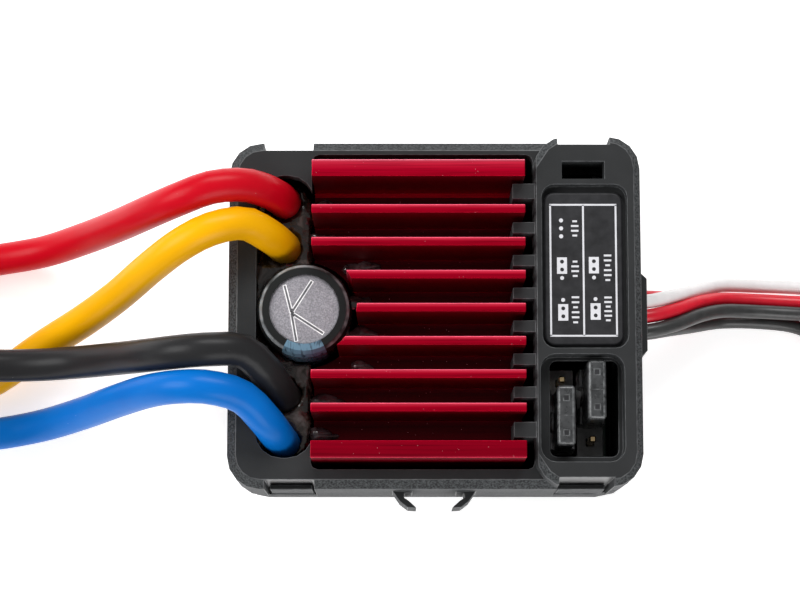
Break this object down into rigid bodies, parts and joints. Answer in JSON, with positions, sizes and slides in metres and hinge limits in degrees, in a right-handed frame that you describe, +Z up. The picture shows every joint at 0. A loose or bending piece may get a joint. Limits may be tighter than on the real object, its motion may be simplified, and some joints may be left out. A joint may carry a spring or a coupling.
{
  "type": "electronic speed controller",
  "caption": "Small model-car motor speed controller: black two-part case, finned red heat sink, upright capacitor, two setting jumpers, power wires in a hank, receiver lead and switch lead.",
  "frame": {"origin": "centre of the case's flat underside", "axes": "+X towards the receiver lead's end of the case, +Y towards the rear wall, +Z up through the heat sink"},
  "size_m": [0.1974, 0.0367, 0.0196],
  "materials": {
    "board": "lacquered board",
    "can": "bare, fine mottled",
    "case": "fine grained moulded",
    "chip": "moulded epoxy",
    "clip": "sprung strip",
    "ferrite": "ferrite",
    "jumper": "smoked translucent",
    "label": "printed film",
    "lead_black": "vinyl jacket",
    "lead_red": "vinyl jacket",
    "lead_white": "vinyl jacket",
    "led": "clear lens",
    "pad": "soft pad",
    "pin": "gold plated",
    "plug": "moulded nylon",
    "plug_black": "moulded",
    "potting": "hard resin, wet look",
    "red_metal": "crimson anodised, satin",
    "seal": "bung",
    "sleeve": "shrink sleeve",
    "tie": "nylon",
    "wire_black": "silicone jacket",
    "wire_blue": "silicone jacket",
    "wire_red": "silicone jacket",
    "wire_yellow": "silicone jacket"
  },
  "bodies": {
    "controller": {"base_tray": "case", "battery_header_base": "case", "battery_header_pin_1": "pin", "battery_header_pin_2": "pin", "battery_header_pin_3": "pin", "battery_plug_blade_negative": "pin", "battery_plug_blade_positive": "pin", "battery_plug_housing": "plug", "bec_inductor": "ferrite", "capacitor_can": "can", "capacitor_seal": "seal", "capacitor_sleeve": "sleeve", "controller_chip": "chip", "heat_sink": "red_metal", "label_plate": "label", "main_board": "board", "mode_header_base": "case", "mode_header_pin_1": "pin", "mode_header_pin_2": "pin", "mode_header_pin_3": "pin", "mosfet_1": "chip", "mosfet_2": "chip", "mosfet_3": "chip", "mosfet_4": "chip", "motor_bullet_blue": "pin", "motor_bullet_sleeve_blue": "wire_blue", "motor_bullet_sleeve_yellow": "wire_yellow", "motor_bullet_yellow": "pin", "power_hank_tie": "tie", "power_tail_black": "wire_black", "power_tail_blue": "wire_blue", "power_tail_red": "wire_red", "power_tail_yellow": "wire_yellow", "power_wire_black": "wire_black", "power_wire_blue": "wire_blue", "power_wire_hank": "wire_red", "power_wire_red": "wire_red", "power_wire_yellow": "wire_yellow", "receiver_hank_tie": "tie", "receiver_lead_hank": "lead_white", "receiver_plug": "plug_black", "receiver_wire_black": "lead_black", "receiver_wire_red": "lead_red", "receiver_wire_white": "lead_white", "regulator_chip": "chip", "status_led": "led", "switch_body": "plug_black", "switch_hank_tie": "tie", "switch_lead_hank": "lead_black", "switch_plate": "plug_black", "switch_wire_black": "lead_black", "switch_wire_red": "lead_red", "thermal_pad": "pad", "top_cover": "case", "wire_potting": "potting"},
    "mode_jumper": {"mode_jumper_cap": "jumper", "mode_jumper_clip": "clip"},
    "battery_jumper": {"battery_jumper_cap": "jumper", "battery_jumper_clip": "clip"},
    "switch_knob": {"switch_knob": "plug_black"}
  },
  "joints": [
    {"name": "mode_jumper_pull", "type": "slide", "parent": "controller", "child": "mode_jumper", "axis": [0, 0, 1], "range_m": [0, 0.006]},
    {"name": "battery_jumper_pull", "type": "slide", "parent": "controller", "child": "battery_jumper", "axis": [0, 0, 1], "range_m": [0, 0.006]},
    {"name": "switch_knob_slide", "type": "slide", "parent": "controller", "child": "switch_knob", "axis": [1, 0, 0], "range_m": [0, 0.003]}
  ]
}
